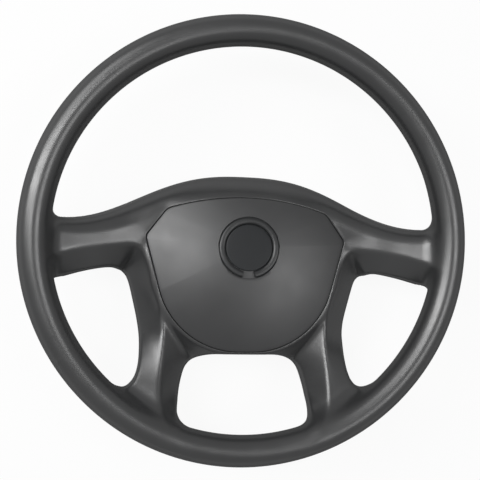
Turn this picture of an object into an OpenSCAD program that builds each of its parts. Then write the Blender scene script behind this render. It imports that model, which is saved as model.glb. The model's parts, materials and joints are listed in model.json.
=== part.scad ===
// Four-spoke moulded steering wheel with a press-to-sound horn pad.
// It lies on its back: +Z points to the driver, +X to the right and +Y to twelve o'clock.
// The origin is on the steering axis, at the rear face of the steel hub insert.

/* [Rim] */
// Outside diameter of the rim
rim_d = 400; // [380:1:430]
// Width of the grip, seen from the front
grip_w = 27.4; // [25:0.1:31]
// Depth of the grip from front to back
grip_t = 30; // [27:0.1:33]
// Height of the middle of the rim above the rear face of the hub insert
rim_rise = 72; // [68:0.5:78]
// Diameter of the steel rod inside the rim
core_d = 12; // [8:0.5:14]

/* [Spokes and hub surround] */
// Height of the hub's upper edge above the steering axis
hub_top = 58.2; // [56:0.1:64]
// Height of the side spokes' upper edge at the rim
spoke_top = 15; // [10:0.5:20]
// Depth of the moulding's back below the middle of the rim
hub_depth = 52; // [50:0.5:56]
// Distance below the steering axis at which the bottom opening begins
hub_bottom = 105; // [104:0.1:110]
// Radius of the fillets between the side spokes and the rim
web_fillet = 11; // [6:0.5:16]

/* [Horn pad] */
// Width of the pad across its side corners
pad_w = 183.4; // [176:0.2:188]
// Height of the pad's upper edge above the steering axis
pad_top = 38.5; // [34:0.1:44]
// Distance of the pad's lower edge below the steering axis
pad_bottom = 101.5; // [96:0.1:102]
// Radius of the pad's lower corners
pad_low_r = 75.3; // [66:0.1:80]
// Length of the straight part of the pad's sides
pad_side_len = 46.6; // [42:0.2:52]
// Lean of the pad's sides from the vertical, in degrees
pad_lean = 15.8; // [13:0.1:19]
// Slope of the pad's cut corners, in degrees
pad_cut = 36.4; // [33:0.1:40]
// Length of the straight part of the cut corners
pad_cut_len = 24; // [18:0.5:28]
// Radius of the pad's side corners
pad_side_r = 7; // [4:0.5:9]
// Radius of the pad's shoulders
pad_shoulder_r = 12; // [10:0.5:14]
// Radius of the crowned front of the pad and its surround
dome_r = 300; // [270:1:360]
// Depth of the pad's crown below the middle of the rim
crown_drop = 8; // [4:0.5:9]
// Gap all round between the pad and its surround
pad_gap = 0.8; // [0.5:0.1:1.5]
// Wall of the pad
pad_wall = 3; // [2:0.1:3.5]
// How far the pad presses in
press = 2.5; // [1:0.1:3]

/* [Badge place] */
// Outside diameter of the trim ring
ring_d = 55; // [50:0.5:60]
// Diameter of the plain disc inside the ring
disc_d = 42.5; // [38:0.5:44]
// Distance of the ring's centre below the steering axis
badge_low = 6.7; // [4:0.1:10]
// Width of the ring's opening at the bottom
ring_gap = 11; // [8:0.5:14]
// Depth of the seat sunk into the pad
badge_seat = 1.6; // [1:0.1:2]
// How far the ring stands proud of the pad
ring_proud = 0.9; // [0.4:0.1:1.5]

/* [Hub and column] */
// Diameter of the hub insert
insert_d = 40; // [36:0.5:44]
// Height of the hub insert
insert_h = 34; // [32:0.5:36]
// Radius of the smooth column bore
bore_r = 11; // [10:0.1:12]
// Length of the smooth column bore
bore_len = 14; // [10:0.5:18]
// Root radius of the serrations above the bore
serration_r = 9.8; // [9.2:0.1:10.5]
// Number of serrations
serrations = 36; // [24:1:40]
// Width of the hub nut across its flats
nut_af = 27; // [24:1:30]
// Height of the hub nut
nut_h = 12; // [10:0.5:13]
// Radius of the nut's thread
nut_r = 8; // [7:0.5:8.5]
// Thickness of the hub washer
washer_t = 2.5; // [1.5:0.1:3]

/* [Spider] */
// Underside of the hub plate above the insert's rear face
plate_z = 22; // [21.5:0.1:23]
// Thickness of the hub plate
plate_t = 8; // [6:0.5:9]
// Width of the arms
arm_w = 13; // [10:0.5:14]
// Thickness of the arms
arm_t = 8; // [6:0.5:9]
// Space left between the metal and the moulding
foam_gap = 0.4; // [0.3:0.05:0.6]

/* [Back cover] */
// How far the cover reaches behind the insert's rear face
cover_reach = 12; // [8:0.5:16]
// Radius of the cover's flat rear ring
cover_r = 60; // [58:0.5:64]
// Radius of the opening for the column
mouth_r = 42.5; // [42:0.5:44]
// Wall of the cover
cover_wall = 2.5; // [2:0.1:3]

/* [Horn plates and contacts] */
// Thickness of the two horn plates
sheet_t = 1.5; // [1:0.1:2]
// Height of the spider's posts above the hub plate
post_h = 6; // [5:0.5:7]
// Thickness of the insulating flanges under the fixed plate
bush_t = 2; // [1.5:0.1:2.5]
// Space between the fixed and the moving plate
plate_gap = 6; // [5.5:0.1:6.5]
// Space that stays between the contacts when the pad is pressed home
contact_gap = 0.1; // [0.05:0.05:0.5]
// Mean radius of the return springs
spring_r = 5.5; // [5:0.1:6.5]
// Wire diameter of the return springs
spring_wire = 0.9; // [0.7:0.05:1]
// Radius of the guide screws' shoulders
guide_r = 3; // [2.5:0.1:3.5]

/* [Screws, rivets and small parts] */
// Radius of the self-tapping screws of the pad, the cover and the slip ring
small_screw_r = 1.9; // [1.5:0.1:2.2]
// Radius of those screws' heads
small_head_r = 3.8; // [3:0.1:4.2]
// Height of those screws' heads
small_head_h = 2.4; // [1.8:0.1:2.8]
// Radius of the screws that hold the fixed plate
base_screw_r = 2.5; // [2:0.1:3]
// Radius of those screws' heads
base_head_r = 4.2; // [3.8:0.1:4.6]
// Height of those screws' heads
base_head_h = 3; // [2:0.1:3.2]
// Depth of their threaded holes
thread_len = 10; // [8:0.5:12]
// Radius of the spider's posts
post_r = 6; // [5.5:0.1:7]
// Radius of the insulating bushes where they pass through the fixed plate
bush_r = 3.6; // [3.4:0.1:4]
// Radius of the insulating flanges
bush_flange_r = 6; // [5.5:0.1:6.5]
// Thickness of the upper insulating washers
insulator_t = 0.8; // [0.5:0.1:1]
// Radius of the contact rivets' faces
contact_r = 3; // [2:0.1:3.5]
// Radius of the rivets' stems
rivet_r = 1.4; // [1:0.1:1.8]
// Height of the fixed contacts above their plate
fixed_contact_h = 0.9; // [0.6:0.1:1.2]
// Radius of the guide screws' threaded ends
guide_thread_r = 2.2; // [1.8:0.1:2.4]
// Height of the guide screws' heads
guide_head_h = 1.5; // [1.2:0.1:2]
// Radius of the pad's screw bosses
boss_r = 4.5; // [4:0.1:5.5]
// Depth of the screw holes in the bosses
boss_hole = 4.5; // [3.5:0.1:5]
// Width of the horn's blade terminal
terminal_w = 6.3; // [4.8:0.1:6.3]

/* [Slip ring] */
// Outside radius of the carrier
carrier_r = 39.5; // [39:0.5:41]
// Inner radius of the slip ring
slip_in = 33; // [32.8:0.1:34]
// Outside radius of the slip ring
slip_out = 38; // [36:0.5:38.5]
// Thickness of the slip ring
slip_t = 1.6; // [1:0.1:2]
// How deep the slip ring is set into its carrier
slip_sunk = 1; // [0.6:0.1:1.4]
// Rear face of the carrier above the insert's rear face
carrier_z = 8; // [6:0.5:10]
// Thickness of the carrier
carrier_t = 4; // [3:0.1:5]
// Radius of the carrier's screws
fine_screw_r = 1.3; // [1:0.1:1.4]
// Radius of those screws' heads
fine_head_r = 2.5; // [2:0.1:2.6]

/* [Hidden] */
$fn = 64;

// A hair of overlap where one cut meets another
eps = 0.01;
// Running space between screws and the holes they pass through
screw_gap = 0.2;
// Seating space between pieces that are pressed or cast together
seat_gap = 0.05;

// Rim
rim_r = rim_d / 2 - grip_w / 2;
rim_in = rim_d / 2 - grip_w;

// Levels
crown_z = rim_rise - crown_drop;
back_z = rim_rise - hub_depth;
plate_top = plate_z + plate_t;
post_top = plate_top + post_h;
base_z = post_top + bush_t;
base_top = base_z + sheet_t;
moving_z = base_top + plate_gap;
moving_top = moving_z + sheet_t;
skirt_z = base_top + press - 0.5;
recess_z = post_top;
cover_top = back_z - 0.2;
cover_z = -cover_reach;

// The crowned front is part of a sphere, whose centre lies below the middle of the pad
dome_y = -35;
dome_centre = [0, dome_y, crown_z - dome_r];

// Hub boss of the spider, round the insert
hub_boss_r = insert_d / 2 + 6;
hub_boss_drop = 12;

// Carrier of the slip ring
carrier_in = hub_boss_r + 0.5;
carrier_angles = [30, 150, 270];
carrier_screw_at = (carrier_in + slip_in) / 2;
lug_w = 8;
lug_t = 2.5;
lug_z = 1;

// Back cover
collar_h = 8;
cover_tube_r = small_head_r + 2.4;
cover_seat_z = 12;

// Ways past the moving plate for the screwdriver, and the horn terminal
tool_r = base_head_r + 1.5;
terminal_y = -50;
terminal_t = 0.8;
terminal_drop = bush_t + post_h - 2;
terminal_rivet_r = 1.5;

// Fixing places, given for the right side and mirrored to the left
post_xy = [[36, 20], [30, -44]];
guide_xy = [[54, 6], [46, -62]];
boss_xy = [[70, -10], [60, -48]];
contact_xy = [50, -28];
cover_screw_xy = [[47, 15], [47, -20]];

function mix(a, b, t) = a + (b - a) * t;
function point_at(c, r, a) = [c[0] + r * cos(a), c[1] + r * sin(a)];
function arc(c, r, a, b, n) = [for (i = [0:n]) point_at(c, r, mix(a, b, i / n))];
function mirrored(half) = concat(half, [for (i = [len(half) - 2:-1:1]) [-half[i][0], half[i][1]]]);
function dome_drop(p) = dome_r - sqrt(dome_r ^ 2 - p[0] ^ 2 - (p[1] - dome_y) ^ 2);
function dome_z(p) = crown_z - dome_drop(p);

// Both sides of a list of places on the right
function both(places) = concat(places, [for (p = places) [-p[0], p[1]]]);

// Pad outline: four arcs a side that run into each other, from the bottom to the top
side_x = pad_w / 2 - pad_side_r;
pad_low_x = side_x - (pad_low_r - pad_side_r) * cos(pad_lean) - pad_side_len * sin(pad_lean);
low_fall = pad_low_x < 0 ? sqrt(pad_low_r ^ 2 - pad_low_x ^ 2) : pad_low_r;
low_c = [pad_low_x, low_fall - pad_bottom];
low_start = -acos(max(0, -pad_low_x) / pad_low_r);
side_y = low_c[1] - (pad_low_r - pad_side_r) * sin(pad_lean) + pad_side_len * cos(pad_lean);
side_c = [side_x, side_y];
shoulder_c = side_c
    + (pad_side_r - pad_shoulder_r) * [cos(pad_cut), sin(pad_cut)]
    + pad_cut_len * [-sin(pad_cut), cos(pad_cut)];
shoulder_fall = shoulder_c[1] - pad_top;
top_arc_r = (pad_shoulder_r ^ 2 - shoulder_c[0] ^ 2 - shoulder_fall ^ 2)
    / (2 * (shoulder_fall + pad_shoulder_r));
top_c = [0, pad_top - top_arc_r];
top_angle = atan2(shoulder_c[1] - top_c[1], shoulder_c[0]);

function pad_half(grow, steps) = concat(
    arc(low_c, pad_low_r + grow, low_start, -pad_lean, 2 * steps),
    arc(side_c, pad_side_r + grow, -pad_lean, pad_cut, steps),
    arc(shoulder_c, pad_shoulder_r + grow, pad_cut, top_angle, steps),
    arc(top_c, top_arc_r + grow, top_angle, 90, steps)
);
function pad_outline(grow, steps = 5) = mirrored(concat([[0, -pad_bottom - grow]], pad_half(grow, steps)));

// Upper edge of the hub and the side spokes: a bell that falls from the hub to the rim
bell_reach = rim_in + 2.4;
function upper_edge(x) = spoke_top + (hub_top - spoke_top) * (1 + cos(180 * min(1, abs(x) / bell_reach))) / 2;

// Side spoke: where its front ridge, its lower wall and its back lie, from the hub at 0 to the rim at 1
spoke_root = 84;
spoke_shares = [-0.3, 0, 0.16, 0.32, 0.48, 0.64, 0.8, 0.95, 1.1];
function side_x_at(t) = mix(spoke_root, rim_in, t);
function side_ridge_y(t) = -5 - 11 * t ^ 2;
function side_ridge_z(t) = rim_rise - 20 + 20 * max(t, 0) ^ 1.5;
function side_low_y(t) = mix(-27, -38, t);
function side_low_z(t) = rim_rise - 46 * (1 - max(0, min(t, 1)));
function side_back_z(t) = back_z + (hub_depth - 14) * max(t, 0) ^ 1.4;

// Share of each edge of a spoke's section that is taken by the soft corner
corner_share = 0.22;

// Lower spoke: share of the way to the rim, ridge, inner foot, outer foot (each with its drop), drop of the back
lower_root = 18;
lower_stations = [
    [0, [92, -23], [40, -42], [126, -44], -52],
    [0.1, [89, -22], [40, -42], [117, -44], -52],
    [0.2, [84, -21], [40, -42], [105, -43], -52],
    [0.31, [78, -20], [40, -42], [98, -42], -52],
    [0.43, [74.5, -17.5], [40, -42], [95, -40], -51],
    [0.55, [75, -14], [42, -40], [96, -35], -48],
    [0.66, [76, -9.5], [52, -35], [100, -28], -43],
    [0.76, [76, -5], [57, -28], [110, -19], -36],
    [0.85, [74.5, 0], [60, -20], [124, -10], -27],
    [0.93, [70, 4], [58, -11], [136, -3], -18],
    [1.02, [63, 6], [45, -4], [130, 0], -9]
];

// Openings between the spokes, in plan
module side_opening() {
    hull() {
        translate([125, -50.3]) circle(22, $fn = 48);
        rotate(-16) translate([rim_in - 9, 0]) circle(9, $fn = 24);
        translate([134.5, -83]) circle(40, $fn = 64);
        rotate(-46.8) translate([rim_in - 12, 0]) circle(14, $fn = 32);
        rotate(-31) translate([rim_in - 9, 0]) circle(9, $fn = 24);
        rotate(-22) translate([rim_in - 9, 0]) circle(9, $fn = 24);
        rotate(-39) translate([rim_in - 9, 0]) circle(9, $fn = 24);
    }
}

module bottom_opening() {
    hull() {
        for (side = [-1, 1]) {
            translate([side * 36, -hub_bottom - 14]) circle(14, $fn = 32);
            rotate(-90 + side * 17.5) translate([rim_in - 14, 0]) circle(14, $fn = 32);
        }
        translate([0, 0]) rotate(-90) translate([rim_in - 14, 0]) circle(14, $fn = 32);
    }
}

module upper_opening() {
    steps = [for (x = [-rim_in:rim_in / 16:rim_in]) [x, upper_edge(x)]];
    offset(r = web_fillet, $fn = 32) offset(delta = -web_fillet) intersection() {
        circle(rim_in + 1, $fn = 72);
        polygon(concat(steps, [[rim_in, rim_in], [-rim_in, rim_in]]));
    }
}

module spoke_plan() {
    difference() {
        rotate(2.5) circle(rim_r - 2, $fn = 72);
        upper_opening();
        bottom_opening();
        side_opening();
        mirror([1, 0]) side_opening();
    }
}

// Outline of a side spoke's section, as Y and Z
function side_section(t) = let(
    ridge = [side_ridge_y(t), side_ridge_z(t)],
    edge = upper_edge(side_x_at(t)),
    low = [side_low_y(t) - 5, side_low_z(t) - 3],
    back = side_back_z(t)
) [
    [edge + 10, back],
    [edge + 10, ridge[1] - 24],
    [edge - 6, ridge[1] - 4],
    ridge,
    low,
    [low[0] + 6, back]
];

// Outline of a lower spoke's section, as X and Z
function lower_section(station) = let(
    drop = [0, rim_rise],
    back = rim_rise + station[4]
) [
    [station[2][0] - 4, back],
    [station[3][0] + 4, back],
    station[3] + drop + [2, 0],
    station[1] + drop,
    station[2] + drop - [2, 0]
];

// The same outline with each corner turned into a short curve
function softened(outline) = [
    for (i = [0:len(outline) - 1], t = [0, 0.5, 1]) let(
        corner = outline[i],
        before = mix(corner, outline[(i + len(outline) - 1) % len(outline)], corner_share),
        after = mix(corner, outline[(i + 1) % len(outline)], corner_share)
    ) mix(mix(before, corner, t), mix(corner, after, t), t)
];

// Convex body between two sections that have the same number of points
module between(first, second) {
    n = len(first);
    sides = [for (k = [0:n - 1]) [k, (k + 1) % n, n + (k + 1) % n, n + k]];
    ends = [[for (k = [n - 1:-1:0]) k], [for (k = [0:n - 1]) n + k]];
    hull() polyhedron(concat(first, second), concat(sides, ends));
}

module side_spoke() {
    rings = [for (t = spoke_shares) [for (p = softened(side_section(t))) [side_x_at(t), p[0], p[1]]]];
    for (i = [0:len(rings) - 2]) between(rings[i], rings[i + 1]);
}

module lower_spoke() {
    rings = [for (s = lower_stations) [
        for (p = softened(lower_section(s))) [p[0], -mix(lower_root, rim_in, s[0]), p[1]]
    ]];
    for (i = [0:len(rings) - 2]) between(rings[i], rings[i + 1]);
}

// Hub surround: it carries on the crown of the pad, rolls over and widens towards the back
function on_dome(outline, drop) = [for (p = outline) [p[0], p[1], dome_z(p) - drop]];
function level(outline, z) = [for (p = outline) [p[0], p[1], z]];
module hub_body() {
    points = concat(
        on_dome(arc([0, dome_y], pad_low_r - 20, 5, 345, 17), 0),
        on_dome(pad_outline(2.6, 5), 0),
        on_dome(pad_outline(7, 4), 2.5),
        level(pad_outline(16, 3), back_z + 16),
        level(pad_outline(20, 4), back_z)
    );
    hull() polyhedron(points, [[for (i = [0:len(points) - 1]) i]]);
}

// Solid ring with the grip's oval section
module grip_ring() {
    rotate_extrude($fn = 72) translate([rim_r, 0]) scale([grip_w / grip_t, 1]) circle(grip_t / 2, $fn = 20);
}

// Outline of the hub plate, which also cuts the well in the moulding
module plate_outline(grow) {
    hull()
        for (p = both([[44, 16], [44, -44]])) translate(p) circle(14 + grow, $fn = 32);
}

// Side profile of a straight run that then climbs to the rim, as distance and height
arm_lift = rim_rise - arm_t / 2 - plate_z;
function climb(reach, knee) = [
    [10, plate_z], [knee, plate_z],
    [mix(knee, reach, 0.78), plate_z + 0.7 * arm_lift],
    [reach, plate_z + arm_lift], [reach, rim_rise + arm_t / 4],
    [mix(knee, reach, 0.74), plate_z + 0.7 * arm_lift + arm_t],
    [knee - 3, plate_z + arm_t], [10, plate_z + arm_t]
];

// Plan of the right lower arm, as a strip round its middle line
lower_arm_x = [26, 71, 75, rim_r * cos(-68.2)];
lower_arm_y = [-28, -92, -140, rim_r * sin(-68.2)];
function lower_arm_plan(half) = concat(
    [for (i = [0:3]) [lower_arm_x[i] - half, lower_arm_y[i]]],
    [for (i = [3:-1:0]) [lower_arm_x[i] + half, lower_arm_y[i]]]
);

// The four arms, grown by a clearance where they cut the moulding
module arms(grow) {
    for (side = [0, 1]) mirror([side, 0, 0]) {
        rotate([90, 0, 0]) linear_extrude(arm_w + 2 * grow, center = true)
            offset(delta = grow) polygon(climb(rim_r, 84));
        intersection() {
            translate([0, 0, plate_z - 20]) linear_extrude(100) offset(delta = grow)
                polygon(lower_arm_plan(arm_w / 2));
            rotate([90, 0, -90]) linear_extrude(200, center = true)
                offset(delta = grow) polygon(climb(rim_r * sin(68.2), 88));
        }
    }
}

// Short sleeves that hold the rim core at the end of each arm
module sleeves(grow) {
    for (a = [0, 180, -68.2, -111.8])
        translate([0, 0, rim_rise]) rotate(a - 4 - grow / 4) rotate_extrude(angle = 8 + grow / 2, $fn = 180)
            translate([rim_r, 0]) circle(core_d / 2 + 3 + grow, $fn = 24);
}

module grip_moulding() {
    color("#3b3c3e") difference() {
        union() {
            translate([0, 0, rim_rise]) grip_ring();
            intersection() {
                translate([0, 0, back_z]) linear_extrude(hub_depth + grip_t / 2) spoke_plan();
                union() {
                    side_spoke();
                    mirror([1, 0, 0]) side_spoke();
                    lower_spoke();
                    mirror([1, 0, 0]) lower_spoke();
                    hub_body();
                }
            }
        }
        translate([0, 0, recess_z]) linear_extrude(60) polygon(pad_outline(pad_gap));
        translate([0, 0, back_z - 1]) linear_extrude(40) plate_outline(1);
        arms(foam_gap);
        sleeves(foam_gap);
        translate([0, 0, rim_rise]) rotate_extrude($fn = 72) translate([rim_r, 0])
            circle(core_d / 2 + foam_gap + 0.1, $fn = 10);
    }
}

module rim_core() {
    color("#8b8d90") translate([0, 0, rim_rise]) rotate_extrude($fn = 180)
        translate([rim_r, 0]) circle(core_d / 2);
}

// Die-cast armature: hub plate with ribs and posts, four arms and their rim sleeves
module spider() {
    color("#a9abad") difference() {
        union() {
            translate([0, 0, plate_z]) linear_extrude(plate_t) plate_outline(0);
            translate([0, 0, plate_z - hub_boss_drop]) cylinder(r = hub_boss_r, h = hub_boss_drop + plate_t + 2);
            for (p = both(post_xy)) translate([p[0], p[1], plate_z]) cylinder(r = post_r, h = plate_t + post_h);
            arms(0);
            sleeves(0);
        }
        translate([0, 0, -eps]) cylinder(d = insert_d + 2 * seat_gap, h = 2 * insert_h);
        translate([0, 0, rim_rise]) rotate_extrude($fn = 180) translate([rim_r, 0])
            circle(core_d / 2 + seat_gap);
        for (p = both(post_xy)) translate([p[0], p[1], post_top - thread_len])
            cylinder(r = base_screw_r + seat_gap, h = thread_len + 1);
        for (p = both(cover_screw_xy)) translate([p[0], p[1], plate_z - 1])
            cylinder(r = small_screw_r + seat_gap, h = plate_t);
        for (a = carrier_angles) rotate(a) translate([carrier_screw_at, 0, plate_z - 1])
            cylinder(r = fine_screw_r + seat_gap, h = plate_t);
    }
}

// Steel hub: smooth bore below, serrated bore above
module hub_insert() {
    tooth = 360 / serrations;
    tips = [for (i = [0:serrations - 1], k = [0, 1])
        point_at([0, 0], k == 0 ? serration_r : serration_r - 0.8, tooth * (i + k / 2))];
    color("#74777a") difference() {
        cylinder(d = insert_d, h = insert_h);
        translate([0, 0, -eps]) cylinder(r = bore_r, h = bore_len + eps);
        translate([0, 0, bore_len - eps]) linear_extrude(insert_h) polygon(tips);
    }
}

module hub_washer() {
    color("#9a9da0") translate([0, 0, insert_h]) difference() {
        cylinder(d = insert_d - 6, h = washer_t);
        translate([0, 0, -eps]) cylinder(r = nut_r + 0.5, h = washer_t + 1);
    }
}

module hub_nut() {
    color("#86898c") translate([0, 0, insert_h + washer_t]) difference() {
        intersection() {
            cylinder(d = nut_af / cos(30), h = nut_h, $fn = 6);
            translate([0, 0, -nut_af]) cylinder(r1 = 2 * nut_af, r2 = nut_af / 2 - 1, h = nut_h + nut_af + 1);
        }
        translate([0, 0, -eps]) cylinder(r = nut_r, h = nut_h + 1);
    }
}

module cover_outline(grow) {
    hull() {
        for (p = both([[62, 6], [50, -60]])) translate(p) circle(32 + grow, $fn = 48);
        translate([0, hub_top - 42]) circle(36 + grow, $fn = 48);
    }
}

// Shell behind the hub: it narrows to a flat ring round the column
module back_cover() {
    color("#2e2f31") difference() {
        union() {
            difference() {
                hull() {
                    translate([0, 0, cover_top - 3]) linear_extrude(3) cover_outline(0);
                    translate([0, 0, cover_z]) cylinder(r = cover_r, h = 3, $fn = 72);
                }
                hull() {
                    translate([0, 0, cover_top - 3]) linear_extrude(4) cover_outline(-cover_wall);
                    translate([0, 0, cover_z + cover_wall])
                        cylinder(r = cover_r - cover_wall, h = 1, $fn = 72);
                }
            }
            translate([0, 0, cover_z]) cylinder(r = mouth_r + cover_wall, h = collar_h);
            for (p = both(cover_screw_xy)) translate([p[0], p[1], cover_z])
                cylinder(r = cover_tube_r, h = plate_z - cover_z - seat_gap);
        }
        translate([0, 0, cover_z - 1]) cylinder(r = mouth_r, h = collar_h + 2);
        for (p = both(cover_screw_xy)) {
            translate([p[0], p[1], cover_z - 1]) cylinder(r = small_head_r + 0.6, h = cover_seat_z - cover_z + 1);
            translate([p[0], p[1], cover_z]) cylinder(r = small_screw_r + screw_gap, h = 60);
        }
    }
}

// Pan-head screw with a cross recess, whose shank points up from z = 0
module screw(length, shank_r, head_r, head_h) {
    slot = 0.6 * head_r;
    difference() {
        union() {
            translate([0, 0, -head_h]) cylinder(r = head_r, h = head_h);
            translate([0, 0, -eps]) cylinder(r = shank_r, h = length + eps);
        }
        for (turn = [0, 90]) rotate(turn) translate([-slot, -slot / 5, -head_h - 1])
            cube([2 * slot, 2 * slot / 5, 1 + head_h / 2]);
    }
}

module small_screw(length) {
    screw(length, small_screw_r, small_head_r, small_head_h);
}

module cover_screws() {
    color("#5f6164") for (p = both(cover_screw_xy)) translate([p[0], p[1], cover_seat_z])
        small_screw(plate_z + plate_t - 3 - cover_seat_z);
}

// Plastic ring behind the spider, with the two lugs that cancel the turn signal
module contact_carrier() {
    color("#d8d4c6") difference() {
        union() {
            translate([0, 0, carrier_z]) cylinder(r = carrier_r, h = carrier_t);
            for (a = carrier_angles) rotate(a) translate([carrier_screw_at, 0, carrier_z])
                cylinder(r = (slip_in - carrier_in) / 2 - 0.5, h = plate_z - carrier_z);
            for (turn = [0, 180]) rotate(turn) translate([carrier_in + 0.5, -lug_w / 2, lug_z])
                cube([lug_t, lug_w, carrier_z - lug_z + 1]);
        }
        translate([0, 0, carrier_z - eps]) cylinder(r = carrier_in, h = 20);
        translate([0, 0, carrier_z - eps]) difference() {
            cylinder(r = slip_out + seat_gap, h = slip_sunk);
            translate([0, 0, -1]) cylinder(r = slip_in - seat_gap, h = slip_sunk + 2);
        }
        for (a = carrier_angles) rotate(a) translate([carrier_screw_at, 0, carrier_z - 1])
            cylinder(r = fine_screw_r + screw_gap, h = plate_z);
    }
}

module slip_ring() {
    color("#b58a3c") translate([0, 0, carrier_z + slip_sunk - slip_t]) difference() {
        cylinder(r = slip_out, h = slip_t - eps);
        translate([0, 0, -1]) cylinder(r = slip_in, h = slip_t + 2);
    }
}

module carrier_screws() {
    color("#8f9193") for (a = carrier_angles) rotate(a) translate([carrier_screw_at, 0, carrier_z])
        screw(plate_z + plate_t - 3 - carrier_z, fine_screw_r, fine_head_r, 1.6);
}

// Tilts a piece on to the crowned front at the badge
module at_badge(lift) {
    translate(dome_centre) rotate([-asin((-badge_low - dome_y) / dome_r), 0, 0])
        translate([0, 0, dome_r + lift]) children();
}

// Domed cover with a skirt, four screw bosses and the seat for the trim ring
module horn_pad() {
    color("#3f4042") difference() {
        union() {
            difference() {
                intersection() {
                    translate([0, 0, skirt_z]) linear_extrude(60) polygon(pad_outline(0));
                    translate(dome_centre) sphere(dome_r, $fn = 180);
                }
                intersection() {
                    translate([0, 0, skirt_z - 1]) linear_extrude(60) polygon(pad_outline(-pad_wall));
                    translate(dome_centre) sphere(dome_r - pad_wall, $fn = 180);
                }
            }
            intersection() {
                union() {
                    for (p = both(boss_xy)) translate([p[0], p[1], moving_top]) cylinder(r = boss_r, h = 20);
                    for (p = both(boss_xy)) translate([p[0] - 0.8, p[1] - 9, moving_top + 2]) cube([1.6, 18, 20]);
                }
                translate(dome_centre) sphere(dome_r - pad_wall / 2, $fn = 180);
            }
        }
        for (p = both(boss_xy)) translate([p[0], p[1], moving_top - 1])
            cylinder(r = small_screw_r + seat_gap, h = boss_hole + 1);
        at_badge(-badge_seat) cylinder(d = ring_d + 0.4, h = 10);
    }
}

module badge_disc() {
    color("#2c2f33") at_badge(-badge_seat + seat_gap) {
        cylinder(d = disc_d, h = badge_seat - 0.6);
        translate([0, 0, badge_seat - 0.6 - eps]) cylinder(d1 = disc_d, d2 = disc_d - 1.6, h = 0.8);
    }
}

// Trim ring with a rounded back, open at the bottom
module badge_ring() {
    inner = disc_d / 2 + 0.3;
    outer = ring_d / 2;
    crest = badge_seat + ring_proud;
    color("#333538") at_badge(-badge_seat + seat_gap) difference() {
        rotate_extrude($fn = 90) polygon([
            [inner, 0], [outer, 0], [outer, crest - 0.9], [outer - 0.7, crest - 0.2],
            [outer - 1.8, crest], [inner + 1.8, crest], [inner + 0.6, crest - 0.3], [inner, crest - 1]
        ]);
        translate([-ring_gap / 2, -ring_d, -1]) cube([ring_gap, ring_d, 10]);
    }
}

module moving_outline() {
    hull() for (p = both(concat(boss_xy, guide_xy))) translate(p) circle(8, $fn = 32);
}

module pad_plate() {
    color("#9b9c96") difference() {
        translate([0, 0, moving_z]) linear_extrude(sheet_t) moving_outline();
        translate([0, 0, moving_z - 1]) cylinder(r = nut_af / 2 + 8, h = sheet_t + 2);
        for (p = both(boss_xy)) translate([p[0], p[1], moving_z - 1])
            cylinder(r = small_screw_r + screw_gap, h = sheet_t + 2);
        for (p = both(guide_xy)) translate([p[0], p[1], moving_z - 1])
            cylinder(r = guide_r + screw_gap, h = sheet_t + 2);
        for (p = both([contact_xy])) translate([p[0], p[1], moving_z - 1])
            cylinder(r = rivet_r + seat_gap, h = sheet_t + 2);
        for (p = both(post_xy)) translate([p[0], p[1], moving_z - 1]) cylinder(r = tool_r, h = sheet_t + 2);
    }
}

module pad_screws() {
    color("#8f9193") for (p = both(boss_xy)) translate([p[0], p[1], moving_z])
        small_screw(sheet_t + boss_hole - 0.5);
}

module base_outline() {
    hull() for (p = both(concat(post_xy, guide_xy))) translate(p) circle(9, $fn = 32);
}

// Fixed plate, kept off the spider by insulating bushes
module base_plate() {
    color("#a19f92") difference() {
        translate([0, 0, base_z]) linear_extrude(sheet_t) base_outline();
        translate([0, 0, base_z - 1]) cylinder(r = insert_d / 2 + 3, h = sheet_t + 2);
        for (p = both(post_xy)) translate([p[0], p[1], base_z - 1])
            cylinder(r = bush_r + seat_gap, h = sheet_t + 2);
        for (p = both(guide_xy)) translate([p[0], p[1], base_z - 1])
            cylinder(r = guide_thread_r + seat_gap, h = sheet_t + 2);
        for (p = both([contact_xy])) translate([p[0], p[1], base_z - 1])
            cylinder(r = rivet_r + seat_gap, h = sheet_t + 2);
        translate([0, terminal_y, base_z - 1]) cylinder(r = terminal_rivet_r + seat_gap, h = sheet_t + 2);
    }
}

module insulating_bushes() {
    color("#c7b287") for (p = both(post_xy)) translate([p[0], p[1], post_top]) difference() {
        union() {
            cylinder(r = bush_flange_r, h = bush_t);
            cylinder(r = bush_r, h = bush_t + sheet_t);
        }
        translate([0, 0, -1]) cylinder(r = base_screw_r + screw_gap, h = bush_t + sheet_t + 2);
    }
}

module insulating_washers() {
    color("#c7b287") for (p = both(post_xy)) translate([p[0], p[1], base_top]) difference() {
        cylinder(r = bush_flange_r, h = insulator_t);
        translate([0, 0, -1]) cylinder(r = base_screw_r + screw_gap, h = insulator_t + 2);
    }
}

module base_screws() {
    shank = thread_len - 1 + bush_t + sheet_t + insulator_t;
    color("#8f9193") for (p = both(post_xy)) translate([p[0], p[1], base_top + insulator_t]) difference() {
        union() {
            cylinder(r = base_head_r, h = base_head_h);
            translate([0, 0, -shank]) cylinder(r = base_screw_r, h = shank + eps);
        }
        translate([0, 0, base_head_h - 1.6]) cylinder(r = 1.7, h = 3, $fn = 6);
    }
}

// Contact rivets: the fixed ones face up and the moving ones face down
module fixed_contacts() {
    color("#c9c6bd") for (p = both([contact_xy])) translate([p[0], p[1], base_top]) {
        cylinder(r = contact_r, h = fixed_contact_h);
        translate([0, 0, -sheet_t - 0.8]) cylinder(r = rivet_r, h = sheet_t + 0.8 + eps);
    }
}

module moving_contacts() {
    reach = plate_gap - fixed_contact_h - press - contact_gap;
    color("#c9c6bd") for (p = both([contact_xy])) translate([p[0], p[1], moving_z]) {
        translate([0, 0, -reach]) cylinder(r = contact_r, h = reach);
        translate([0, 0, -eps]) cylinder(r = rivet_r, h = sheet_t + 0.8);
    }
}

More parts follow.
